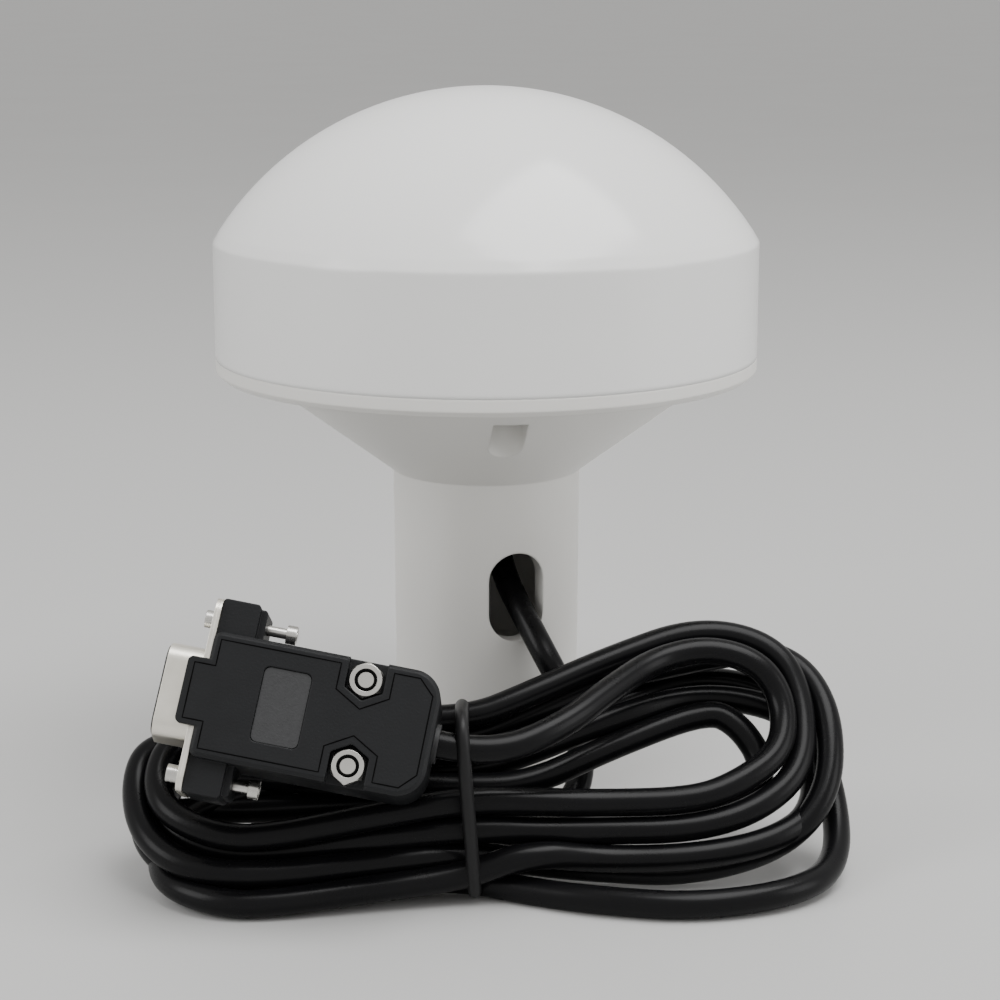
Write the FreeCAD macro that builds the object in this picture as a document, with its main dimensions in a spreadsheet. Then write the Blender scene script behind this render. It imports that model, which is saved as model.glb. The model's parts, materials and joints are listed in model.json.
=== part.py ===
"""A small marine satellite-positioning receiver with a hanked data cable.

The head is a round, domed housing on a conical neck and a hollow threaded stem. The cable
leaves through a slot in the stem, lies in a tied hank and ends in a nine-way D connector in
a two-part hood. Lengths are in millimetres, +Z is up, and the stem stands on the plane Z = 0
with its axis on the Z axis.
"""
import FreeCAD
import Part
import math
import os
import re
import Sketcher

Vector = FreeCAD.Vector

SIZES = {
    # housing
    "head_radius": 48.0,
    "head_top": 126.0,
    "dome_radius": 56.7,
    "dome_edge_radius": 46.9,
    "dome_edge_height": 101.16,
    "skirt_top": 99.3,
    "joint_height": 79.2,
    "lip_top": 81.4,
    "lip_radius": 45.3,
    "lip_inner_radius": 42.6,
    "wall": 2.4,
    "skirt_inner_radius": 45.5,
    "underside": 76.1,
    "underside_radius": 47.0,
    "corner_height": 77.1,
    "cone_radius": 40.5,
    "cone_foot": 58.4,
    "neck_radius": 16.75,
    "foot_radius": 16.4,
    # stem
    "thread_radius": 11.72,
    "chamfer_radius": 12.8,
    "chamfer_height": 1.0,
    "thread_top": 22.8,
    "throat_radius": 12.9,
    "throat_low": 24.0,
    "throat_top": 56.0,
    "partition_top": 60.95,
    "gland_hole": 6.2,
    "slot_width": 10.0,
    "slot_straight": 6.0,
    "slot_low": 35.0,
    "slot_angle": -71.0,
    # head screws
    "boss_ring": 32.5,
    "boss_radius": 7.6,
    "boss_centre": 31.0,
    "pocket_width": 5.8,
    "pocket_start": 28.9,
    "pocket_top": 76.4,
    "screw_angle": -83.5,
    # electronics
    "board_radius": 41.0,
    "board_low": 84.0,
    "board_thick": 1.6,
    "pillar_ring": 31.0,
    "patch_side": 35.0,
    "patch_thick": 4.0,
    # cable
    "cable_radius": 2.25,
    "tie_radius": 1.1,
    "hank_thick": 16.0,
    # connector
    "hood_length": 37.0,
    "hood_half_width": 9.9,
    "hood_half_thick": 7.5,
    "ear_half_width": 15.4,
    "ear_end": 6.5,
    "ear_half_thick": 5.4,
    "step_half_thick": 4.0,
    "jack_offset": 12.5,
    "jack_shank": 0.85,
    "jack_thread": 1.42,
    "jack_head": 1.5,
    "flange_length": 30.81,
    "flange_width": 12.5,
    "plate": 0.5,
    "shell_depth": 6.4,
    "nut_place": 25.0,
    "nut_offset": 6.8,
}

doc = FreeCAD.newDocument("receiver")
sheet = doc.addObject("Spreadsheet::Sheet", "Sizes")
for row, (word, value) in enumerate(SIZES.items(), start=1):
    sheet.set("A%d" % row, word)
    sheet.set("B%d" % row, str(value))
    sheet.setAlias("B%d" % row, word)
doc.recompute()

finished = []


def number(word):
    """Give the value of a named size, or of a number written as text."""
    return SIZES[word] if word in SIZES else float(word)


def bind(item, **formulas):
    """Tie properties to formulas in which every word is a named size."""
    for prop, text in formulas.items():
        item.setExpression(prop, re.sub(r"[a-z_]+", r"Sizes.\g<0>", str(text)))
    return item


def at(x=0.0, y=0.0, z=0.0, axis=None, angle=0.0):
    """Place something at a point, turned about an axis."""
    turn = FreeCAD.Rotation(axis, angle) if axis else FreeCAD.Rotation()
    return FreeCAD.Placement(Vector(x, y, z), turn)


ALONG_X = FreeCAD.Rotation(Vector(0, 1, 0), 90)
ALONG_Y = FreeCAD.Rotation(Vector(1, 0, 0), -90)


def cylinder(name, radius, height, place):
    item = doc.addObject("Part::Cylinder", name)
    item.Placement = place
    return bind(item, Radius=radius, Height=height)


def rod_x(name, radius, height, start):
    """A cylinder that runs along +X from its start point."""
    return cylinder(name, radius, height, FreeCAD.Placement(Vector(*start), ALONG_X))


def sphere(name, radius, place):
    item = doc.addObject("Part::Sphere", name)
    item.Placement = place
    return bind(item, Radius=radius)


def box(name, length, width, height, corner):
    item = doc.addObject("Part::Box", name)
    item.Placement = at(*corner)
    return bind(item, Length=length, Width=width, Height=height)


def hexagon(name, radius, height, place):
    item = doc.addObject("Part::Prism", name)
    item.Polygon = 6
    item.Placement = place
    return bind(item, Circumradius=radius, Height=height)


def fuse(name, *items):
    joined = doc.addObject("Part::MultiFuse", name)
    joined.Shapes = list(items)
    return joined


def cut(name, base, *tools):
    tool = tools[0] if len(tools) == 1 else fuse(name + "_tools", *tools)
    result = doc.addObject("Part::Cut", name)
    result.Base = base
    result.Tool = tool
    return result


def common(name, *items):
    result = doc.addObject("Part::MultiCommon", name)
    result.Shapes = list(items)
    return result


def group(name, *items):
    """Keep separate solids together as one sub-part."""
    together = doc.addObject("Part::Compound", name)
    together.Links = list(items)
    return together


def finish(item, place=None):
    """Mark an object as a finished sub-part, named after itself."""
    item.Label = item.Name
    if place is not None:
        item.Placement = place
    finished.append(item)
    return item


def around(radius, angle, height=0.0):
    """A placement on a circle about the stem, turned to face outwards."""
    turned = FreeCAD.Placement(Vector(), FreeCAD.Rotation(Vector(0, 0, 1), angle))
    return turned.multiply(at(radius, 0, height))


# --- turned profiles -------------------------------------------------------------------

def pin_coordinate(sketch, kind, line, word):
    """Hold one coordinate of a line's start at a named size."""
    if number(word) == 0.0:
        axis = -2 if kind == "DistanceX" else -1
        sketch.addConstraint(Sketcher.Constraint("PointOnObject", line, 1, axis))
        return
    rule = sketch.addConstraint(Sketcher.Constraint(kind, line, 1, number(word)))
    bind(sketch, **{"Constraints[%d]" % rule: word})


def draw_profile(sketch, corners):
    """Draw a closed profile whose corners are held by named sizes."""
    spots = [Vector(number(r), number(z), 0) for r, z in corners]
    lines = [sketch.addGeometry(Part.LineSegment(spot, spots[(i + 1) % len(spots)]))
             for i, spot in enumerate(spots)]
    for i, line in enumerate(lines):
        following = lines[(i + 1) % len(lines)]
        sketch.addConstraint(Sketcher.Constraint("Coincident", line, 2, following, 1))
        pin_coordinate(sketch, "DistanceX", line, corners[i][0])
        pin_coordinate(sketch, "DistanceY", line, corners[i][1])


def turned(name, corners):
    """Turn a closed profile of (radius, height) corners about the Z axis."""
    sketch = doc.addObject("Sketcher::SketchObject", name + "_profile")
    sketch.Placement = at(0, 0, 0, Vector(1, 0, 0), 90)
    draw_profile(sketch, corners)
    turn = doc.addObject("Part::Revolution", name)
    turn.Source = sketch
    turn.Axis = Vector(0, 0, 1)
    turn.Angle = 360
    turn.Solid = True
    return turn


# --- rounded paths and outlines ----------------------------------------------------------

def rounded_wire(points, setback, closed=False):
    """Join straight runs with tangent arcs; setback(corner, shorter run) starts each arc."""
    spots = [Vector(*p) for p in points]
    count = len(spots)
    corners = range(count) if closed else range(1, count - 1)
    arcs = {}
    for i in corners:
        before, here, after = spots[i - 1], spots[i], spots[(i + 1) % count]
        shorter = min((here - before).Length, (after - here).Length)
        arcs[i] = corner_arc(before, here, after, setback(i, shorter))
    edges = []
    for i in range(count if closed else count - 1):
        j = (i + 1) % count
        start = arcs[i][2] if i in arcs else spots[i]
        stop = arcs[j][0] if j in arcs else spots[j]
        edges.append(Part.LineSegment(start, stop).toShape())
        if j in arcs:
            edges.append(Part.Arc(*arcs[j][:3]).toShape())
    return Part.Wire(edges), [arcs[i][3] for i in corners]


def corner_arc(before, here, after, back):
    """Start, middle and end of the arc that rounds one corner, and its radius."""
    run_in = here - before
    run_out = after - here
    half = run_in.getAngle(run_out) / 2
    run_in.normalize()
    run_out.normalize()
    inward = (run_out - run_in).normalize()
    radius = back / math.tan(half)
    centre = here + inward * (radius / math.cos(half))
    return here - run_in * back, centre - inward * radius, here + run_out * back, radius


def loose_corners(_, shorter):
    return 0.45 * shorter


def outline(name, points, setback=1.0):
    """A closed flat outline with rounded corners, kept as a wire in the document."""
    each = setback if isinstance(setback, list) else [setback] * len(points)
    wire, _ = rounded_wire(points, lambda i, shorter: min(each[i], 0.45 * shorter), True)
    item = doc.addObject("Part::Feature", name)
    item.Shape = wire
    return item


def prism(name, base, direction, length):
    """Push an outline out into a solid."""
    item = doc.addObject("Part::Extrusion", name)
    item.Base = base
    item.DirMode = "Custom"
    item.Dir = Vector(*direction)
    item.Solid = True
    return bind(item, LengthFwd=length)


def tube(name, points, radius, setback=loose_corners, closed=False):
    """A round bar along straight runs joined by tangent arcs."""
    spine = doc.addObject("Part::Feature", name + "_path")
    spine.Shape, radii = rounded_wire(points, setback, closed)
    first = spine.Shape.Edges[0]
    direction = first.tangentAt(first.FirstParameter)
    section = doc.addObject("Part::Circle", name + "_section")
    section.Placement = FreeCAD.Placement(
        first.valueAt(first.FirstParameter), FreeCAD.Rotation(Vector(0, 0, 1), direction))
    bind(section, Radius=radius)
    item = doc.addObject("Part::Sweep", name)
    item.Sections = [section]
    item.Spine = (spine, [])
    item.Solid = True
    item.Frenet = False
    print(name, "bend radii", [round(r, 1) for r in radii])
    return item


# --- the housing -------------------------------------------------------------------------

def build_radome():
    """The domed cover, with four posts that take the screws from below."""
    centre = at(0, 0, SIZES["head_top"] - SIZES["dome_radius"])
    outer_dome = sphere("radome_outer_dome", "dome_radius", centre)
    envelope = turned("radome_envelope", [
        ("0", "joint_height"),
        ("head_radius", "joint_height"),
        ("head_radius", "skirt_top"),
        ("dome_edge_radius", "dome_edge_height"),
        ("40", "130"),
        ("0", "130"),
    ])
    inner_dome = sphere("radome_inner_dome", "dome_radius - wall", centre)
    room = cylinder("radome_room", "skirt_inner_radius", "50", at(0, 0, 75))
    shell = cut("radome_shell", common("radome_outside", outer_dome, envelope),
                common("radome_inside", inner_dome, room))
    posts = []
    holes = []
    for k in range(4):
        angle = SIZES["screw_angle"] + 90 * k
        posts.append(cylinder("radome_post_%d" % k, "4.2", "31",
                              around(SIZES["boss_ring"], angle, SIZES["lip_top"])))
        holes.append(cylinder("radome_hole_%d" % k, "1.5", "12",
                              around(SIZES["boss_ring"], angle, SIZES["lip_top"] - 1)))
    return finish(cut("radome", fuse("radome_full", shell, *posts), *holes))


def build_base_shell():
    """The lower housing: rim, cone and stem in one moulding."""
    outside = turned("base_outside", [
        ("0", "0"),
        ("foot_radius", "0"),
        ("neck_radius", "cone_foot"),
        ("cone_radius", "underside"),
        ("underside_radius", "underside"),
        ("head_radius", "corner_height"),
        ("head_radius", "joint_height"),
        ("lip_radius", "joint_height"),
        ("lip_radius", "lip_top"),
        ("0", "lip_top"),
    ])
    hollow = turned("base_hollow", [
        ("0", "partition_top"),
        ("15", "partition_top"),
        ("39.8", "79.4"),
        ("lip_inner_radius", "79.4"),
        ("lip_inner_radius", "90"),
        ("0", "90"),
    ])
    throat = turned("base_throat", [
        ("0", "-1"),
        ("13.88", "-1"),
        ("thread_radius", "chamfer_height"),
        ("thread_radius", "thread_top"),
        ("throat_radius", "throat_low"),
        ("throat_radius", "throat_top"),
        ("gland_hole", "throat_top"),
        ("gland_hole", "65"),
        ("0", "65"),
    ])
    seal_groove = turned("base_groove", [
        ("44.2", "79.9"),
        ("47", "79.9"),
        ("47", "81"),
        ("44.2", "81"),
    ])
    bosses = [cylinder("base_boss_%d" % k, "boss_radius", "21.4",
                       around(SIZES["boss_centre"], SIZES["screw_angle"] + 90 * k, 60))
              for k in range(4)]
    pillars = [cylinder("base_pillar_%d" % k, "3", "24",
                        around(SIZES["pillar_ring"], SIZES["screw_angle"] + 45 + 90 * k, 60))
               for k in range(4)]
    cavity = cut("base_cavity", hollow, *bosses, *pillars)
    body = cut("base_body", outside, cavity, throat, seal_groove)
    raised = common("base_pillars_in", fuse("base_pillar_group", *pillars), hollow)
    tall = cut("base_shell", fuse("base_raised", body, raised),
               *cable_slot(), *screw_pockets(), *board_screw_holes())
    return finish(tall)


def cable_slot():
    """The upright slot in the stem wall that lets the cable out."""
    tools = []
    half = SIZES["slot_width"] / 2
    for k, height in enumerate((SIZES["slot_low"], SIZES["slot_low"] + SIZES["slot_straight"])):
        turned_place = around(9.0, SIZES["slot_angle"], height)
        turned_place = turned_place.multiply(FreeCAD.Placement(Vector(), ALONG_X))
        tools.append(cylinder("slot_end_%d" % k, "slot_width / 2", "12", turned_place))
    middle = box("slot_middle", "12", "slot_width", "slot_straight", (0, 0, 0))
    middle.Placement = around(9.0, SIZES["slot_angle"], SIZES["slot_low"]).multiply(at(0, -half, 0))
    tools.append(middle)
    return tools


def screw_pockets():
    """Round-ended recesses in the cone, and the screw holes at their tops."""
    tools = []
    half = SIZES["pocket_width"] / 2
    for k in range(4):
        angle = SIZES["screw_angle"] + 90 * k
        tools.append(cylinder("pocket_end_%d" % k, "pocket_width / 2", "pocket_top - 55",
                              around(SIZES["pocket_start"], angle, 55)))
        channel = box("pocket_run_%d" % k, "7", "pocket_width", "pocket_top - 55", (0, 0, 0))
        channel.Placement = around(SIZES["pocket_start"], angle, 55).multiply(at(0, -half, 0))
        tools.append(channel)
        tools.append(cylinder("pocket_hole_%d" % k, "1.6", "12",
                              around(SIZES["boss_ring"], angle, 72)))
    return tools


def board_screw_holes():
    return [cylinder("pillar_hole_%d" % k, "1.25", "8",
                     around(SIZES["pillar_ring"], SIZES["screw_angle"] + 45 + 90 * k, 77))
            for k in range(4)]


def build_head_seal():
    return finish(turned("head_seal", [
        ("44.2", "79.95"),
        ("skirt_inner_radius", "79.95"),
        ("skirt_inner_radius", "80.95"),
        ("44.2", "80.95"),
    ]))


def pan_screw(name, radius, head_radius, head_height, length, place):
    """A pan-head screw whose head seat is at the placement, shank along its +Z."""
    shank = cylinder(name + "_shank", radius, length, place)
    head = cylinder(name + "_head", head_radius, head_height,
                    place.multiply(at(0, 0, -float(head_height))))
    slot_long = box(name + "_slot_a", "3", "0.7", "1", (0, 0, 0))
    slot_long.Placement = place.multiply(at(-1.5, -0.35, -float(head_height) - 0.2))
    slot_wide = box(name + "_slot_b", "0.7", "3", "1", (0, 0, 0))
    slot_wide.Placement = place.multiply(at(-0.35, -1.5, -float(head_height) - 0.2))
    return cut(name, fuse(name + "_solid", shank, head), slot_long, slot_wide)


def build_head_screws():
    screws = [pan_screw("head_screw_%d" % k, "1.5", "2.7", "2.2", "15",
                        around(SIZES["boss_ring"], SIZES["screw_angle"] + 90 * k,
                               SIZES["pocket_top"]))
              for k in range(4)]
    return finish(group("head_screws", *screws))


# --- the electronics ---------------------------------------------------------------------

def build_board():
    """The round circuit board, with clearance for the cover's posts."""
    low = SIZES["board_low"]
    disc = cylinder("board_disc", "board_radius", "board_thick", at(0, 0, low))
    tools = []
    for k in range(4):
        angle = SIZES["screw_angle"] + 90 * k
        tools.append(cylinder("board_notch_%d" % k, "4.8", "4",
                              around(SIZES["boss_ring"], angle, low - 1)))
        tools.append(cylinder("board_drill_%d" % k, "1.35", "4",
                              around(SIZES["pillar_ring"], angle + 45, low - 1)))
    tools.append(cylinder("board_feed", "0.7", "4", at(3, 0, low - 1)))
    return finish(cut("circuit_board", disc, *tools))


def build_board_screws():
    flipped = FreeCAD.Placement(Vector(), FreeCAD.Rotation(Vector(1, 0, 0), 180))
    screws = []
    for k in range(4):
        angle = SIZES["screw_angle"] + 45 + 90 * k
        top = around(SIZES["pillar_ring"], angle, SIZES["board_low"] + SIZES["board_thick"])
        screws.append(pan_screw("board_screw_%d" % k, "1.25", "2.2", "1.5", "7.6",
                                top.multiply(flipped)))
    return finish(group("board_screws", *screws))


def build_antenna():
    """The ceramic patch, its silvered face and the pin that feeds it."""
    half = SIZES["patch_side"] / 2
    low = SIZES["board_low"] + SIZES["board_thick"]
    top = low + SIZES["patch_thick"]
    ceramic = box("patch_block", "patch_side", "patch_side", "patch_thick", (-half, -half, low))
    hole = cylinder("patch_hole", "0.6", "patch_thick + 2", at(3, 0, low - 1))
    finish(cut("patch_ceramic", ceramic, hole))
    face = box("face_plate", "patch_side - 6", "patch_side - 6", "0.2", (3 - half, 3 - half, top))
    face_hole = cylinder("face_hole", "0.5", "1", at(3, 0, top - 0.4))
    finish(cut("patch_face", face, face_hole))
    pin = cylinder("pin_shank", "0.5", "6.9", at(3, 0, top + 0.2 - 6.9))
    head = cylinder("pin_head", "1.1", "0.5", at(3, 0, top + 0.2))
    finish(fuse("feed_pin", pin, head))


def build_board_parts():
    """The components on the underside of the board."""
    low = SIZES["board_low"]
    can = box("can_block", "26", "20", "3.4", (-20, -4, low - 3.4))
    inside = box("can_inside", "25.4", "19.4", "4", (-19.7, -3.7, low - 3.1))
    finish(cut("shield_can", can, inside))
    finish(box("positioning_module", "20", "15", "2.4", (-17.5, -1.5, low - 2.4)))
    chip = box("chip_block", "10", "6", "1.6", (9, 10, low - 1.9))
    feet = [box("chip_foot_%d" % k, "0.5", "8", "0.3", (9.9 + 1.27 * k, 9, low - 0.3))
            for k in range(7)]
    finish(fuse("line_driver", chip, *feet))
    finish(cylinder("backup_cell", "6.25", "2.5", at(16, -14, low - 2.5)))
    cans = [cylinder("capacitor_%d" % k, "2.5", "5.5", at(12 + 6.4 * k, 2, low - 5.5))
            for k in range(2)]
    finish(group("capacitors", *cans))
    choke = box("choke_block", "7", "7", "3", (-6, -15, low - 3))
    finish(choke)


def build_inner_wiring():
    """The plug-in header under the board and the four conductors that reach it."""
    low = SIZES["board_low"]
    tray = box("header_block", "12", "5", "6", (-14, -22, low - 6))
    well = box("header_well", "10.8", "3.8", "6", (-13.4, -21.4, low - 7))
    finish(cut("cable_header", tray, well))
    finish(box("wire_housing", "10.4", "3.4", "6", (-13.2, -21.2, low - 8.6)))
    starts = {"red": -1.425, "black": -0.475, "green": 0.475, "white": 1.425}
    for k, (colour, x) in enumerate(starts.items()):
        end = -12 + 2.6 * k
        points = [(x, 0, 68), (x * 1.2, 0, 70.5), (end * 0.7, -13, 70 + 1.0 * k),
                  (end, -19.5, 72.0 + 0.5 * k), (end, -19.5, low - 8.6)]
        finish(tube("wire_" + colour, points, "0.45"))


def build_gland():
    """The rubber gland in the partition and the nut that holds it."""
    stem = cylinder("gland_stem", "gland_hole", "9", at(0, 0, 55))
    flange = cylinder("gland_flange", "9", "2.5", at(0, 0, 53.5))
    bore = cylinder("gland_bore", "cable_radius", "20", at(0, 0, 50))
    finish(cut("cable_gland", fuse("gland_solid", stem, flange), bore))
    nut = hexagon("nut_block", "8.6", "3", at(0, 0, SIZES["partition_top"]))
    nut_hole = cylinder("nut_hole", "gland_hole", "5", at(0, 0, SIZES["partition_top"] - 1))
    finish(cut("gland_nut", nut, nut_hole))


# --- the cable, its hank and its tie -----------------------------------------------------

LEAD_PATH = [(0, 0, 68), (0, 0, 44), (9.8, -21.5, 30), (16, -21.5, 18), (17, -26, 3.6),
             (1, -42, 2.4), (-15, -52.8, 2.4)]
PLUG_PATH = [(-6.85, -64.8, 27.34), (1, -65.49, 25.93), (12, -59.5, 28.6), (20.5, -49.5, 32),
             (28, -41, 34.2)]
TIE_PATH = [(-3.6, -66.5, 1.3), (-3.6, -69.2, 32), (-3.6, -47, 26.9), (-3.6, -42, 21.5),
            (-3.6, -53, 1.3)]
WAIST = [(-5, -65.2, 2.4), (-5, -68, 30.5), (-5, -47.5, 25.9), (-5, -43.3, 21.1),
         (-5, -53.7, 2.4)]
HANK_OUTLINE = [(-44, -7, 0), (30, -7, 0), (55, -3, 0), (61.5, 18, 0), (52, 45, 0),
                (34, 48, 0), (-2, 33, 0), (-50, 32, 0), (-62, 20, 0), (-59, 0, 0)]
RIGHT_EYE = [(15, 16, 0), (39, 16.5, 0), (42.5, 22, 0), (37, 25.5, 0), (20, 20.5, 0)]
LEFT_EYE = [(-47, 13, 0), (-17, 14, 0), (-17, 21, 0), (-46, 22, 0)]


def build_hank():
    """The outer shape of the tied hank, leaning back at 45 degrees, open at both eyes."""
    place = FreeCAD.Placement(Vector(0, -60 + 4.24, 2.35 - 4.24),
                              FreeCAD.Rotation(Vector(1, 0, 0), 45))
    slab = prism("hank_slab", outline("hank_outline", HANK_OUTLINE, 8.0), (0, 0, 1), "hank_thick")
    right = prism("hank_right", outline("hank_right_eye", RIGHT_EYE, 3.0), (0, 0, 1), "hank_thick")
    left = prism("hank_left", outline("hank_left_eye", LEFT_EYE, 3.0), (0, 0, 1), "hank_thick")
    ring = cut("hank_ring", slab, right, left)
    ring.Placement = place
    above = box("hank_above", "140", "70", "60", (-70, -85, 0.05))
    band = box("waist_band", "2.8", "60", "60", (-5, -90, -5))
    inside = prism("waist_inside", outline("waist_outline", WAIST, 3.0), (1, 0, 0), "2.8")
    groove = cut("waist_groove", band, inside)
    finish(cut("cable_hank", common("hank_on_floor", ring, above), groove))


def build_cable():
    finish(tube("cable_lead", LEAD_PATH, "cable_radius"))
    build_hank()
    finish(tube("cable_plug_run", PLUG_PATH, "cable_radius"))
    finish(tube("hank_tie", TIE_PATH, "tie_radius", lambda _, shorter: min(4.0, 0.4 * shorter), True))


# --- the connector -----------------------------------------------------------------------
# Its own frame: +X from the mating face towards the cable, +Y along the flange, +Z out of
# the hood's front. The jack screws lie at Y = +12.5 and -12.5.

PLUG = FreeCAD.Placement(
    Vector(-44.5, -61.5, 34.1),
    FreeCAD.Rotation(Vector(0.9806, -0.0859, -0.1761), Vector(0.1959, 0.4299, 0.8814),
                     Vector(0.0, -0.8988, 0.4384), "XYZ"))


def hood_half(name, direction):
    """Half a hood: a body with a rounded cable end, two thinner ears and a step on each."""
    end, wide = SIZES["hood_length"], SIZES["hood_half_width"]
    corners = [(0.5, -wide, 0), (end, -wide, 0), (end, wide, 0), (0.5, wide, 0)]
    body = prism(name + "_body", outline(name + "_body_line", corners, [1.4, 4.6, 4.6, 1.4]),
                 (0, 0, direction), "hood_half_thick")
    bevelled = doc.addObject("Part::Chamfer", name + "_bevelled")
    bevelled.Base = body
    doc.recompute()
    face = SIZES["hood_half_thick"] - 0.01
    bevelled.Edges = [(i + 1, 0.6, 0.6) for i, e in enumerate(body.Shape.Edges)
                      if min(abs(v.Z) for v in e.Vertexes) > face]
    pieces = [bevelled]
    for word, back, thick in (("ear", 0.0, "ear_half_thick"), ("step", 1.1, "step_half_thick")):
        across = SIZES["ear_half_width"] - 0.45 * back
        far = SIZES["ear_end"] + back
        line = [(0.5, -across, 0), (far, -across, 0), (far, across, 0), (0.5, across, 0)]
        pieces.append(prism(name + "_" + word, outline(name + "_" + word + "_line", line, 0.6),
                            (0, 0, direction), thick))
    return fuse(name + "_solid_half", *pieces)


def hood_hollows(name):
    """The room inside the hood for the connector, the conductors and the clamp."""
    return [
        box(name + "_mouth", "9", "18.4", "10.2", (0, -9.2, -5.1)),
        box(name + "_room", "12.5", "16", "11.4", (8.5, -8, -5.7)),
        box(name + "_throat", "14", "7.4", "9", (20.5, -3.7, -4.5)),
        rod_x(name + "_exit", "3.1", "8", (33, 0, 0)),
        rod_x(name + "_tongue", "4.4", "1.6", (33.8, 0, 0)),
    ] + jack_channels(name)


def jack_channels(name):
    """Bores in the ears: wide for the thread, close on the shank behind it."""
    tools = []
    for k, side in enumerate((1, -1)):
        across = side * SIZES["jack_offset"]
        tools.append(rod_x("%s_wide_%d" % (name, k), "jack_thread + 0.08", "5.5", (0, across, 0)))
        tools.append(rod_x("%s_close_%d" % (name, k), "jack_shank + 0.08", "10", (0, across, 0)))
    return tools


def nut_recesses():
    """Seats on the front with a V-shaped inner end, open to the hood's sides."""
    tools = []
    place, depth = SIZES["nut_place"], SIZES["hood_half_thick"] - 2.3
    for k, side in enumerate((1, -1)):
        inner = SIZES["nut_offset"]
        corners = [(place - 3.05, side * (inner - 1.7), depth), (place, side * (inner - 3.4), depth),
                   (place + 3.05, side * (inner - 1.7), depth), (place + 3.05, side * 12, depth),
                   (place - 3.05, side * 12, depth)]
        tools.append(prism("nut_seat_%d" % k, outline("nut_seat_line_%d" % k, corners, 0.3),
                           (0, 0, 1), "4"))
    return tools


def screw_clearance(name):
    return [cylinder("%s_%d" % (name, k), "1.3", "20",
                     at(SIZES["nut_place"], side * SIZES["nut_offset"], -10))
            for k, side in enumerate((1, -1))]


def build_hood_front():
    half = SIZES["hood_half_thick"]
    lip_line = [(-2.6, -5.3, half - 1.0), (2.0, -5.3, half - 1.0), (2.0, 5.3, half - 1.0),
                (-2.6, 5.3, half - 1.0)]
    lip = prism("front_lip", outline("front_lip_line", lip_line, [0.9, 0.1, 0.1, 0.9]),
                (0, 0, 1), "1.0")
    solid = cut("front_cut", hood_half("front", 1), label_recess(), *nut_recesses(),
                *hood_hollows("front"), *screw_clearance("front_screw"))
    finish(fuse("hood_front", solid, lip), PLUG)


def build_hood_rear():
    low = -SIZES["hood_half_thick"]
    heads = [cylinder("rear_head_seat_%d" % k, "2.5", "3",
                      at(SIZES["nut_place"], side * SIZES["nut_offset"], low - 1))
             for k, side in enumerate((1, -1))]
    finish(cut("hood_rear", hood_half("rear", -1), *heads, *hood_hollows("rear"),
               *screw_clearance("rear_screw")), PLUG)


def chamfered_nut(name, place):
    """A hexagon nut with its top corners turned off and its thread countersunk."""
    block = hexagon(name + "_block", "2.95", "1.9", place)
    cap = doc.addObject("Part::Cone", name + "_cap")
    cap.Placement = place
    bind(cap, Radius1="4.4", Radius2="2.5", Height="1.9")
    sink = doc.addObject("Part::Cone", name + "_sink")
    sink.Placement = place.multiply(at(0, 0, 1.3))
    bind(sink, Radius1="1.2", Radius2="1.85", Height="0.65")
    hole = cylinder(name + "_hole", "1.25", "4", place.multiply(at(0, 0, -1)))
    return cut(name, common(name + "_turned", block, cap), sink, hole)


def build_hood_fixings():
    """Two screws from the back and the nuts they draw into the front."""
    screws = []
    nuts = []
    for k, side in enumerate((1, -1)):
        x, y = SIZES["nut_place"], side * SIZES["nut_offset"]
        screws.append(pan_screw("hood_screw_%d" % k, "1.25", "2.25", "1.5", "12.5",
                                at(x, y, -5.5)))
        nuts.append(chamfered_nut("hood_nut_%d" % k, at(x, y, 5.2, Vector(0, 0, 1), 30)))
    finish(group("hood_screws", *screws), PLUG)
    finish(group("hood_nuts", *nuts), PLUG)


def label_block(name, margin, depth, height):
    """A round-cornered block the size of the label, less a margin all round."""
    x, y = 3.8 - margin, 5.95 - margin
    corners = [(13.1 - x, -y, depth), (13.1 + x, -y, depth), (13.1 + x, y, depth),
               (13.1 - x, y, depth)]
    return prism(name, outline(name + "_line", corners, 1.0), (0, 0, 1), height)


def label_recess():
    return label_block("front_label", 0.0, SIZES["hood_half_thick"] - 0.5, "1")


def build_label_panel():
    finish(label_block("label_panel", 0.1, SIZES["hood_half_thick"] - 0.5, "0.3"), PLUG)


def d_outline(name, half_long, half_wide, start):
    """The D shape of the connector: its long side faces the back of the hood."""
    slope = half_wide * math.tan(math.radians(10))
    corners = [(start, -half_long - slope, -half_wide), (start, half_long + slope, -half_wide),
               (start, half_long - slope, half_wide), (start, -half_long + slope, half_wide)]
    return outline(name, corners, 2.2)


def contact_spots():
    """Five contacts in the long row and four in the short row, 2.77 mm apart."""
    long_row = [(-5.54 + 2.77 * k, -1.42) for k in range(5)]
    short_row = [(-4.155 + 2.77 * k, 1.42) for k in range(4)]
    return long_row + short_row


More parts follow.
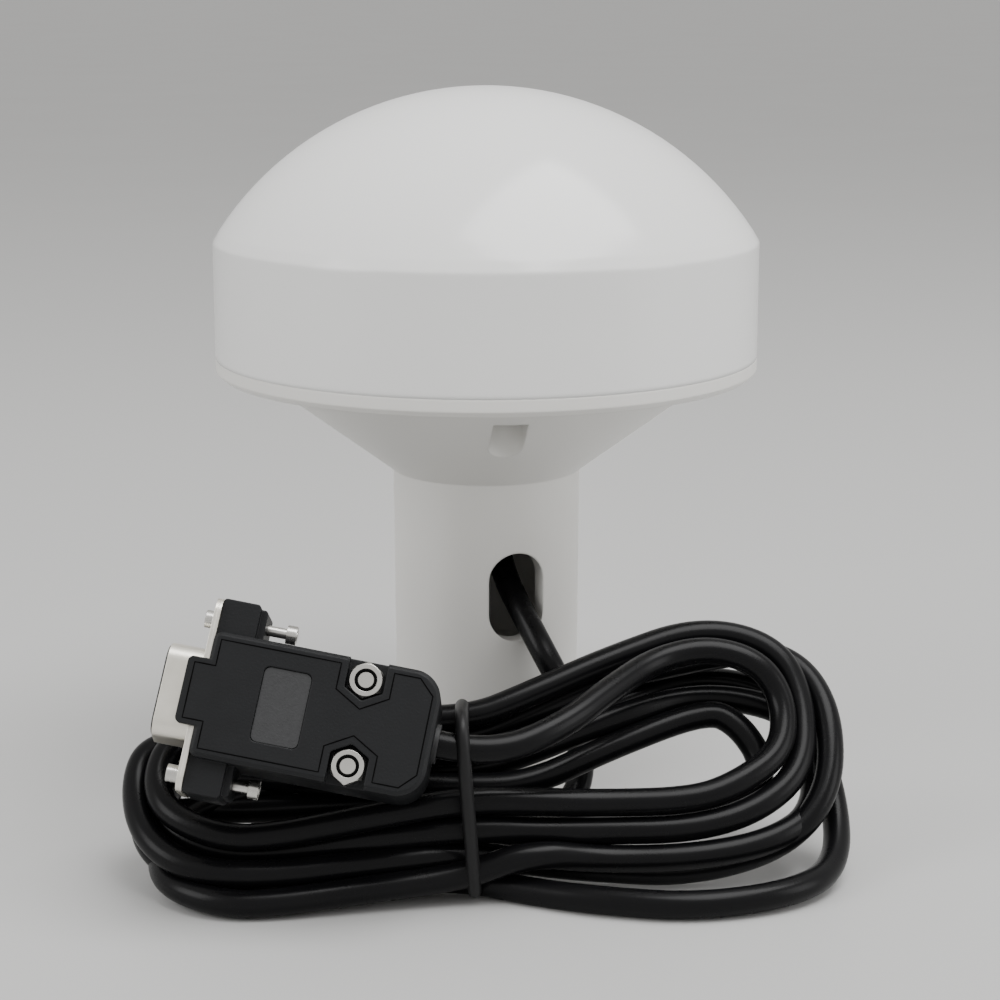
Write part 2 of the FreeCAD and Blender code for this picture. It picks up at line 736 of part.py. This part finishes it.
def build_connector():
    """The two pressed shells, the insulator block and the nine socket contacts."""
    half = SIZES["flange_length"] / 2
    wide = SIZES["flange_width"] / 2
    holes = [rod_x("flange_hole_%d" % k, "1.6", "4", (-2, side * SIZES["jack_offset"], 0))
             for k, side in enumerate((1, -1))]
    plate_line = [(-0.5, -half, -wide), (-0.5, half, -wide), (-0.5, half, wide),
                  (-0.5, -half, wide)]
    front_plate = prism("shell_plate", outline("shell_plate_line", plate_line, 2.4), (1, 0, 0),
                        "plate")
    front_tube = prism("shell_tube", d_outline("shell_line", 7.7, 3.95, -6.4), (1, 0, 0),
                       "shell_depth")
    front_open = prism("shell_open", d_outline("shell_open_line", 7.3, 3.55, -8.0), (1, 0, 0),
                       "9")
    finish(cut("shell_front", fuse("shell_solid", front_plate, front_tube), front_open, *holes),
           PLUG)
    back_line = [(0.0, y, z) for _, y, z in plate_line]
    back_plate = prism("back_plate", outline("back_plate_line", back_line, 2.4), (1, 0, 0),
                       "plate")
    back_tube = prism("back_tube", d_outline("back_line", 8.2, 4.6, 0.0), (1, 0, 0), "5")
    back_open = prism("back_open", d_outline("back_open_line", 7.8, 4.2, -1.0), (1, 0, 0), "9")
    back_holes = [rod_x("back_hole_%d" % k, "1.6", "4", (-2, side * SIZES["jack_offset"], 0))
                  for k, side in enumerate((1, -1))]
    finish(cut("shell_back", fuse("back_solid", back_plate, back_tube), back_open, *back_holes),
           PLUG)
    nose = prism("insulator_nose", d_outline("nose_line", 7.25, 3.5, -6.7), (1, 0, 0), "6.7")
    rear = prism("insulator_rear", d_outline("rear_d_line", 7.75, 4.15, 0.0), (1, 0, 0), "5.6")
    bores = [rod_x("contact_bore_%d" % k, "0.75", "15", (-8, y, z))
             for k, (y, z) in enumerate(contact_spots())]
    finish(cut("insulator", fuse("insulator_solid", nose, rear), *bores), PLUG)
    contacts = []
    for k, (y, z) in enumerate(contact_spots()):
        barrel = rod_x("contact_barrel_%d" % k, "0.75", "14.7", (-6.3, y, z))
        mouth = rod_x("contact_mouth_%d" % k, "0.5", "6", (-7, y, z))
        cup = rod_x("contact_cup_%d" % k, "0.5", "3", (6.2, y, z))
        contacts.append(cut("contact_%d" % k, barrel, mouth, cup))
    finish(group("contacts", *contacts), PLUG)


def build_jack_screw(name, side, tip):
    """A captive screw with a slotted head, and the ring that keeps it in its ear."""
    y = side * SIZES["jack_offset"]
    thread = rod_x(name + "_thread", "jack_thread", "5.2", (tip, y, 0))
    shank = rod_x(name + "_shank", "jack_shank", "13.8", (tip + 1, y, 0))
    head = rod_x(name + "_head", "jack_head", "1.6", (tip + 13.1, y, 0))
    slot = box(name + "_slot", "1.2", "4", "0.5", (tip + 14.0, y - 2, -0.25))
    finish(cut(name, fuse(name + "_solid", thread, shank, head), slot), PLUG)
    disc = rod_x(name + "_disc", "jack_thread", "0.5", (tip + 5.3, y, 0))
    bore = rod_x(name + "_ring_bore", "jack_shank + 0.04", "3", (tip + 4, y, 0))
    finish(cut(name + "_ring", disc, bore), PLUG)


def build_cable_end():
    """The grommet at the hood's mouth, the cable's end, its clamp and the conductors."""
    neck = rod_x("grommet_neck", "3.1", "4.7", (33, 0, 0))
    collar = rod_x("grommet_collar", "4.4", "1.5", (33.85, 0, 0))
    bore = rod_x("grommet_bore", "cable_radius", "12", (30, 0, 0))
    finish(cut("cable_grommet", fuse("grommet_solid", neck, collar), bore), PLUG)
    tail = rod_x("cable_tail", "cable_radius", "15.4", (23, 0, 0))
    finish(tail, PLUG.multiply(tail.Placement))
    saddle = box("clamp_saddle", "4", "7", "2.1", (27, -3.5, -4.4))
    finish(saddle, PLUG.multiply(saddle.Placement))
    ends = {"red": (0.9, 2.77, -1.42), "black": (-0.9, -2.77, -1.42), "green": (0.0, 0.0, -1.42)}
    for colour, (start, y, z) in ends.items():
        points = [(22.85, start, -0.4), (18.5, start * 1.6, -1.0), (13, y, z * 0.9), (8.4, y, z)]
        item = tube("plug_wire_" + colour, points, "0.45")
        finish(item, PLUG)


def build_plug():
    build_hood_front()
    build_hood_rear()
    build_hood_fixings()
    build_label_panel()
    build_connector()
    build_jack_screw("jack_upper", 1, -2.4)
    build_jack_screw("jack_lower", -1, -3.0)
    build_cable_end()


def export_all():
    """Check every object, then write each finished sub-part to its own file."""
    doc.recompute()
    for item in doc.Objects:
        if "Invalid" in item.State or "Error" in item.State:
            raise RuntimeError("%s is %s" % (item.Name, item.State))
    os.makedirs("parts", exist_ok=True)
    for item in finished:
        shape = item.Shape
        if shape.isNull() or not shape.isValid():
            raise RuntimeError("%s has no valid shape" % item.Label)
        shape.exportStep(os.path.join("parts", item.Label + ".step"))
        print("%-22s %2d solids %10.2f mm3" % (item.Label, len(shape.Solids), shape.Volume))


build_radome()
build_base_shell()
build_head_seal()
build_head_screws()
build_board()
build_board_screws()
build_antenna()
build_board_parts()
build_inner_wiring()
build_gland()
build_cable()
build_plug()
export_all()
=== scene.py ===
"""Looks of the positioning receiver with its hanked cable, on a plain floor.

The camera and the lights are placed in metres. Curves are written in millimetres, and MM
turns them into metres. +Z is up, and the stem stands on the plane Z = 0 on the Z axis.
"""
import bpy
import json
import math
from mathutils import Matrix, Vector


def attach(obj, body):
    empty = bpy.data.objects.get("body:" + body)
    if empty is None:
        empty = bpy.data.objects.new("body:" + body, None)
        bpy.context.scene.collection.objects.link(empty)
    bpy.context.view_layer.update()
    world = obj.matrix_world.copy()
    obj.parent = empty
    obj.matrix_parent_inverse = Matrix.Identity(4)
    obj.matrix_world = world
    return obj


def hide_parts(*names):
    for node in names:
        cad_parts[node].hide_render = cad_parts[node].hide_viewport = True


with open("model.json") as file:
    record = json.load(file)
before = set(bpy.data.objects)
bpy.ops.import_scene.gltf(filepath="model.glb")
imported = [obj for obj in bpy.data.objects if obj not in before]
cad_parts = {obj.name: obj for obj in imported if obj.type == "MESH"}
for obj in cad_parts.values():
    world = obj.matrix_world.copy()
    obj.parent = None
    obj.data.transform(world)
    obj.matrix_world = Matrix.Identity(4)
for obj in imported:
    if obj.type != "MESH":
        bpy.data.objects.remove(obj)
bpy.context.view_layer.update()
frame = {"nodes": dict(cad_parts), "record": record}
NODES = frame["nodes"]
MM = 0.001


# --- camera ------------------------------------------------------------------------------

CAMERA_PLACE = (0.00014, -0.420, 0.1474)
CAMERA_LENS = 85.7
CAMERA_TILT = 77.21
CAMERA_PAN = -0.315


def make_camera():
    """A long lens in front, higher than the head's top, looking slightly down."""
    data = bpy.data.cameras.new("camera")
    data.lens = CAMERA_LENS
    data.sensor_width = 36
    data.clip_start = 0.01
    camera = bpy.data.objects.new("camera", data)
    camera.location = CAMERA_PLACE
    camera.rotation_euler = (math.radians(CAMERA_TILT), 0, math.radians(CAMERA_PAN))
    bpy.context.collection.objects.link(camera)
    bpy.context.scene.camera = camera


# --- cord --------------------------------------------------------------------------------
# The lead runs from the gland to the hank, and the plug run from the hank to the connector.

CABLE_RADIUS = 2.25
LEAD = [(0, 0, 68), (0, 0, 44), (9.8, -21.5, 30), (16, -21.5, 18), (17, -26, 3.6),
        (1, -42, 2.4), (-15, -52.8, 2.4), (-27, -48, 2.6), (-36, -37, 4), (-45, -31, 8),
        (-53, -35, 14)]
PLUG_RUN = [(28, -41, 34.2), (20.5, -49.5, 32), (12, -59.5, 28.6), (1, -65.49, 25.93),
            (-6.85, -64.8, 27.34)]

# The hank leans back at 45 degrees from a line in front of the stem, where a cable on the
# floor has its middle at FOOT_HEIGHT. A place on it is (up the slope, out of the hank's face),
# and the ends and tops have their x in front. The turns follow each other from the one laid
# first. The last turn has no upper run, because the plug run takes its place.

TILT = math.sqrt(0.5)
FOOT_DEPTH = -60
FOOT_HEIGHT = 2.35
TIE_X = -3.6

TURNS = [
    dict(left=(-53.5, 14, -4), low_left=(14.2, -2.2), low_tie=(15.6, -1.2), low_in=(11.5, -1),
         low_mid=(11.2, -0.5), low_right=(12.5, -2), right=(46, 20, -3), top=(37, 30.5, 0),
         mid=(23.5, 1.5), near=(16.3, 2.5), tie=(16.0, 2.3), up_left=(17.0, 1.5)),
    dict(left=(-57, 13, -2), low_left=(-0.5, 0.6), low_tie=(1.5, -1.0), low_in=(-2.0, 1.4),
         low_mid=(-5.0, 5.0), low_right=(-7, 7), right=(58.5, 12, -10), top=(38, 35.5, -3),
         mid=(28.0, 3.0), near=(23.2, 0.3), tie=(20.0, -0.2), up_left=(21.0, -1.5)),
    dict(left=(-53.3, 5, -2), low_left=(-6.3, 6.3), low_tie=(-0.2, 3.3), low_in=(2.6, 6.4),
         low_mid=(3.2, 2.2), low_right=(3.4, 2.3), right=(55, 19, -4), top=(36, 40.4, -6),
         mid=(32.0, -1.0), near=(23.3, 4.5), tie=(20.7, 4.6), up_left=(22.0, 3.5)),
    dict(left=(-58, 17, 1.5), low_left=(-1.5, 6.5), low_tie=(3.9, 3.2), low_in=(4.6, -2.0),
         low_mid=(3.4, -2.0), low_right=(2.6, -2.0), right=(57.5, 24, 2), top=(45, 42.9, -1),
         mid=(36.3, 1.5), near=(29.5, 2.0), tie=(24.5, 1.8), up_left=(26.0, 1.0)),
    dict(left=(-54.5, 15, 0), low_left=(3.8, 3.0), low_tie=(6.6, 7.0), low_in=(7.2, 4.6),
         low_mid=(7.4, 4.0), low_right=(7.6, 4.0), right=(53, 26, 1), top=(36, 43.8, 4.5),
         mid=(37.5, 6.0), near=(30.5, 7.0), tie=(26.0, 6.5), up_left=(27.0, 6.0)),
    dict(left=(-54.0, 16, 5), low_left=(4.2, 8.0), low_tie=(10.1, 10.1), low_in=(10.6, 8.4),
         low_mid=(11.0, 6.8), low_right=(11.6, 6.4), right=(49.5, 27, 3), top=(37, 38, 8)),
]

TIE_RADIUS = 1.1
TIE_LOOP = [(-3.9, -63.5, 32), (-4.0, -55, 31), (-3.9, -45, 27.4), (-3.8, -41.5, 22.5),
            (-3.2, -46, 11), (-2.4, -53, 1.5), (-1.9, -58, 1.2), (-1.9, -63.8, 1.6),
            (-2.2, -64.8, 8), (-3.2, -66.5, 21), (-3.8, -67.2, 29.5)]


def on_slope(x, up, out):
    """A point of the tilted hank, in millimetres."""
    return (x, FOOT_DEPTH + TILT * (up - out), FOOT_HEIGHT + TILT * (up + out))


def between(a, b, share):
    """The point a share of the way from a to b."""
    return tuple(p + (q - p) * share for p, q in zip(a, b))


def turn_points(turn, following):
    """One turn: left end, along the bottom, round the right end and back along the top."""
    left_x, left_up, left_out = turn["left"]
    right_x, right_up, right_out = turn["right"]
    top_x, top_up, top_out = turn["top"]
    left = (left_up, left_out)
    right = (right_up, right_out)
    stations = [
        (left_x, *left),
        (left_x + 2.5, *between(left, turn["low_left"], 0.55)),
        (left_x + 10, *between(left, turn["low_left"], 0.92)),
        (-36, *turn["low_left"]),
        (-19, *between(turn["low_left"], turn["low_tie"], 0.55)),
        (TIE_X, *turn["low_tie"]),
        (7, *turn["low_in"]),
        (18, *turn["low_mid"]),
        (33, *turn["low_right"]),
        (right_x - 9, *between(turn["low_right"], right, 0.2)),
        (right_x - 1, *between(turn["low_right"], right, 0.62)),
        (right_x, *between(right, (top_up, top_out), 0.3)),
        (right_x - 4, *between(right, (top_up, top_out), 0.85)),
        (top_x, top_up + 0.8, top_out),
    ]
    if following is None:
        return [on_slope(*s) for s in stations]
    next_x, next_up, next_out = following["left"]
    crown = between(turn["up_left"], (next_up + 9, next_out), 0.6)
    stations += [
        (20, *turn["mid"]),
        (7, *turn["near"]),
        (TIE_X, *turn["tie"]),
        (-24, *turn["up_left"]),
        (next_x + 12, *crown),
        (next_x + 2, next_up + 7, next_out),
    ]
    return [on_slope(*s) for s in stations]


def cord_points():
    """The whole cable, from the gland to the connector."""
    points = list(LEAD)
    for k, turn in enumerate(TURNS):
        points += turn_points(turn, TURNS[k + 1] if k + 1 < len(TURNS) else None)
    return points + PLUG_RUN


def add_spline(data, points, cyclic, order):
    """Add one smooth line with the given control points to a curve."""
    spline = data.splines.new("NURBS")
    spline.points.add(len(points) - 1)
    for spot, place in zip(spline.points, points):
        spot.co = (place[0] * MM, place[1] * MM, place[2] * MM, 1)
    spline.order_u = order
    spline.use_endpoint_u = not cyclic
    spline.use_cyclic_u = cyclic
    spline.resolution_u = 10


def smooth_curve(name, points, radius, cyclic=False, order=3):
    """A round curve through space with the given control points, in millimetres."""
    data = bpy.data.curves.new(name, "CURVE")
    data.dimensions = "3D"
    data.bevel_depth = radius * MM
    data.bevel_resolution = 8
    data.use_fill_caps = True
    add_spline(data, points, cyclic, order)
    piece = bpy.data.objects.new(name, data)
    bpy.context.collection.objects.link(piece)
    return piece


# --- materials ---------------------------------------------------------------------------

def grained(name, colour, rough, metal=0.0, shade=0.06, patch=60.0, grain=900.0, bump=0.15,
            depth=0.00005, spread=0.08, edge=0.0, specular=0.5):
    """A moulded or metal surface with patchy colour, uneven gloss and a fine raised grain."""
    made = bpy.data.materials.new(name)
    made.use_nodes = True
    tree = made.node_tree
    link = tree.links.new
    shader = tree.nodes["Principled BSDF"]
    shader.inputs["Metallic"].default_value = metal
    shader.inputs["Specular IOR Level"].default_value = specular
    where = tree.nodes.new("ShaderNodeTexCoord").outputs["Object"]
    broad = tree.nodes.new("ShaderNodeTexNoise")
    broad.inputs["Scale"].default_value = patch
    broad.inputs["Detail"].default_value = 4
    link(where, broad.inputs["Vector"])
    tint = tree.nodes.new("ShaderNodeMix")
    tint.data_type = "RGBA"
    tint.inputs["A"].default_value = [c * (1 - shade) for c in colour] + [1]
    tint.inputs["B"].default_value = [min(1, c * (1 + shade)) for c in colour] + [1]
    link(broad.outputs["Fac"], tint.inputs["Factor"])
    link(tint.outputs["Result"], shader.inputs["Base Color"])
    fine = tree.nodes.new("ShaderNodeTexNoise")
    fine.inputs["Scale"].default_value = grain
    fine.inputs["Detail"].default_value = 3
    link(where, fine.inputs["Vector"])
    gloss = tree.nodes.new("ShaderNodeMapRange")
    gloss.inputs["To Min"].default_value = rough - spread
    gloss.inputs["To Max"].default_value = rough + spread
    link(broad.outputs["Fac"], gloss.inputs["Value"])
    link(gloss.outputs["Result"], shader.inputs["Roughness"])
    raised = tree.nodes.new("ShaderNodeBump")
    raised.inputs["Strength"].default_value = bump
    raised.inputs["Distance"].default_value = depth
    link(fine.outputs["Fac"], raised.inputs["Height"])
    if edge:
        soft = tree.nodes.new("ShaderNodeBevel")
        soft.samples = 6
        soft.inputs["Radius"].default_value = edge
        link(soft.outputs["Normal"], raised.inputs["Normal"])
    link(raised.outputs["Normal"], shader.inputs["Normal"])
    return made


METAL = dict(metal=1.0, shade=0.05, patch=400, grain=2500, bump=0.08, edge=0.00012)

LOOKS = {
    "cover_white": dict(colour=(0.80, 0.80, 0.79), rough=0.17, shade=0.012, patch=25,
                        grain=500, bump=0.05, spread=0.03, edge=0.0012),
    "base_white": dict(colour=(0.74, 0.73, 0.70), rough=0.40, shade=0.015, patch=30,
                       grain=1600, bump=0.10, spread=0.04, edge=0.0005),
    "seal_black": dict(colour=(0.02, 0.02, 0.021), rough=0.6, grain=1500, bump=0.3,
                       edge=0.0003),
    "steel": dict(colour=(0.62, 0.61, 0.58), rough=0.28, **METAL),
    "board_green": dict(colour=(0.02, 0.16, 0.06), rough=0.4, patch=300),
    "ceramic": dict(colour=(0.6, 0.5, 0.36), rough=0.6, bump=0.3),
    "silver": dict(colour=(0.8, 0.79, 0.75), rough=0.25, **METAL),
    "can_tin": dict(colour=(0.66, 0.66, 0.64), rough=0.35, **METAL),
    "chip_black": dict(colour=(0.02, 0.02, 0.022), rough=0.5, grain=3000, bump=0.3,
                       edge=0.00015),
    "header_cream": dict(colour=(0.7, 0.66, 0.52), rough=0.5),
    "wire_red": dict(colour=(0.5, 0.02, 0.02), rough=0.4),
    "wire_black": dict(colour=(0.015, 0.015, 0.015), rough=0.4),
    "wire_green": dict(colour=(0.02, 0.3, 0.06), rough=0.4),
    "wire_white": dict(colour=(0.7, 0.7, 0.7), rough=0.4),
    "cable_black": dict(colour=(0.0035, 0.0035, 0.004), rough=0.28, shade=0.15, patch=150,
                        grain=2200, bump=0.22, depth=0.00004, spread=0.06, specular=0.15),
    "tie_rubber": dict(colour=(0.009, 0.009, 0.0095), rough=0.42, grain=1800, bump=0.25,
                       specular=0.25),
    "hood_grey": dict(colour=(0.0065, 0.007, 0.008), rough=0.46, shade=0.10, patch=250,
                      grain=2600, bump=0.55, depth=0.00008, spread=0.06, edge=0.00035,
                      specular=0.25),
    "label_grey": dict(colour=(0.021, 0.0215, 0.023), rough=0.6, shade=0.35, patch=900,
                       grain=2600, bump=0.6, depth=0.0001),
    "shell_tin": dict(colour=(0.86, 0.83, 0.75), rough=0.36, **METAL),
    "gold": dict(colour=(0.8, 0.6, 0.26), rough=0.3, **METAL),
    # Painted shade: near-black colour for thin lines laid where grooves and gaps fall into
    # shade.
    "painted_shade_dark": dict(colour=(0.0015, 0.0015, 0.0015), rough=0.7, specular=0.04),
    "floor": dict(colour=(0.50, 0.50, 0.495), rough=0.55, shade=0.01, patch=8, bump=0.02),
}


def dress(piece, material):
    """Give a piece one material all over."""
    piece.data.materials.clear()
    piece.data.materials.append(material)
    return piece


# --- small features ----------------------------------------------------------------------
# The connector's own frame: +X from the mating face towards the cable, +Y along the flange,
# +Z out of the front of the hood. Fine grooves and gaps are drawn as thin dark lines of painted
# shade laid on the CAD parts, and threads are thin ridges round them, because CAD parts keep
# their shape.

HOOD_FACE = 7.5
NUT_PLACE = 25
NUT_OFFSET = 6.8
# Height and radius of the painted shadow rings round the hood screws' ends.
NUT_SHADOW_HEIGHT = 7.0
NUT_SHADOW_RADIUS = 1.52
JACK_OFFSET = 12.5
JACK_PITCH = 0.64
JACK_RIDGE_RADIUS = 1.33
STEM_PITCH = 1.814
STEM_RIDGE_RADIUS = 11.9

PLUG = Matrix(((0.9806, 0.1959, 0, -44.5), (-0.0859, 0.4299, -0.8988, -61.5),
               (-0.1761, 0.8814, 0.4384, 34.1), (0, 0, 0, 1)))


def on_plug(points):
    """Points of the connector's frame, moved to where the connector lies."""
    return [tuple(PLUG @ Vector(p)) for p in points]


def helix(radius, pitch, start, end, steps):
    """Points of a screw line about Z, in millimetres."""
    count = round((end - start) / pitch * steps)
    return [(radius * math.cos(math.tau * k / steps), radius * math.sin(math.tau * k / steps),
             start + pitch * k / steps) for k in range(count + 1)]


def add_line(name, points, radius, look, body="receiver", cyclic=False):
    """A thin raised line, or a thin dark line of painted shade, that belongs to the object."""
    line = smooth_curve(name, points, radius, cyclic=cyclic, order=2 if cyclic else 3)
    line.data.bevel_resolution = 2
    line.data.resolution_u = 3
    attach(dress(line, paint[look]), body)
    return line


def make_hood_groove_shade():
    """Painted groove shade: a dark line that follows the hood's face a little inside its edge.
    """
    half = [(35.7, -6.2), (33.3, -8.6), (29.2, -8.6), (29.2, -4.5), (25, -2.1), (20.8, -4.5),
            (20.8, -8.6), (1.8, -8.6), (1.8, -4.4), (-1.5, -4.4)]
    mirror = [(along, -across) for along, across in reversed(half)]
    line = [(along, across, HOOD_FACE) for along, across in half + mirror]
    return add_line("hood_groove_shade", on_plug(line), radius=0.11, look="painted_shade_dark",
                    cyclic=True)


def nut_shadow_ring(side, steps=24):
    """A circle of painted shadow round the end of one hood screw."""
    angles = [math.tau * k / steps for k in range(steps)]
    return on_plug([(NUT_PLACE + NUT_SHADOW_RADIUS * math.cos(angle),
                     side * NUT_OFFSET + NUT_SHADOW_RADIUS * math.sin(angle),
                     NUT_SHADOW_HEIGHT) for angle in angles])


def make_painted_nut_shadows():
    """Painted shadow: a dark ring between each nut's mouth and the end of its screw."""
    rings = add_line("painted_nut_shadows", nut_shadow_ring(1), radius=0.24, look="painted_shade_dark",
                     cyclic=True)
    add_spline(rings.data, nut_shadow_ring(-1), cyclic=True, order=2)
    return rings


def make_jack_thread(name, side, tip, body):
    """The thread's ridge on one jack screw, from just behind its tip."""
    turns = helix(JACK_RIDGE_RADIUS, JACK_PITCH, start=tip + 0.3, end=tip + 4.9, steps=14)
    ridge = [(z, side * JACK_OFFSET + x, y) for x, y, z in turns]
    return add_line(name, on_plug(ridge), radius=0.12, look="steel", body=body)


def make_stem_thread():
    """The thread's ridge in the bore of the stem."""
    ridge = helix(STEM_RIDGE_RADIUS, STEM_PITCH, start=1.6, end=22.0, steps=32)
    return add_line("stem_thread_ridge", ridge, radius=0.42, look="base_white")


# --- stage -------------------------------------------------------------------------------

FLOOR_REACH = 45.0


def make_floor(material):
    """A square floor that reaches past the view on every side."""
    mesh = bpy.data.meshes.new("floor")
    corners = [(x * FLOOR_REACH, y * FLOOR_REACH, 0)
               for x, y in ((-1, -1), (1, -1), (1, 1), (-1, 1))]
    mesh.from_pydata(corners, [], [(0, 1, 2, 3)])
    floor = bpy.data.objects.new("floor", mesh)
    bpy.context.collection.objects.link(floor)
    dress(floor, material)


def area_light(name, place, aim, size, power):
    """A rectangular soft light that faces its aim."""
    data = bpy.data.lights.new(name, "AREA")
    data.shape = "RECTANGLE"
    data.size, data.size_y = size
    data.energy = power
    lamp = bpy.data.objects.new(name, data)
    lamp.location = place
    lamp.rotation_euler = (Vector(aim) - Vector(place)).to_track_quat("-Z", "Y").to_euler()
    bpy.context.collection.objects.link(lamp)


def make_lights():
    """An even pale surround, a key light above and a softer light on each side."""
    world = bpy.data.worlds.new("studio")
    world.use_nodes = True
    surround = world.node_tree.nodes["Background"]
    surround.inputs["Color"].default_value = (1.0, 0.99, 0.975, 1)
    surround.inputs["Strength"].default_value = 0.80
    bpy.context.scene.world = world
    area_light("key", (0.25, -0.15, 0.85), aim=(0, 0, 0.05), size=(0.7, 0.5), power=7.6)
    area_light("left", (-0.8, -0.4, 0.5), aim=(0, 0, 0.08), size=(0.4, 0.6), power=3.4)
    area_light("right", (0.9, -0.3, 0.35), aim=(0, 0, 0.08), size=(0.4, 0.6), power=2.2)


# --- building ----------------------------------------------------------------------------

make_camera()
paint = {name: grained(name, **look) for name, look in LOOKS.items()}
cord = smooth_curve("cable", cord_points(), CABLE_RADIUS)
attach(dress(cord, paint["cable_black"]), "receiver")
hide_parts("cable_lead", "cable_hank", "cable_plug_run")

tie = smooth_curve("tie_ring", TIE_LOOP, TIE_RADIUS, cyclic=True, order=4)
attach(dress(tie, paint["tie_rubber"]), "receiver")
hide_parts("hank_tie")

# Every CAD node wears the material of its slot in the record.
slots = {entry["node"]: entry["material_slot"] for entry in frame["record"]["subparts"]}
for node, piece in NODES.items():
    dress(piece, paint[slots[node]])

# Painted shade: a dark line where the hood face's engraved groove is shaded.
hood_groove_shade = make_hood_groove_shade()
# Painted shadow: dark rings in the nut mouths round the screw ends.
painted_nut_shadows = make_painted_nut_shadows()
upper_ridge = make_jack_thread("jack_upper_ridge", side=1, tip=-2.4, body="upper_screw")
lower_ridge = make_jack_thread("jack_lower_ridge", side=-1, tip=-3.0, body="lower_screw")
make_stem_thread()

make_floor(paint["floor"])
make_lights()
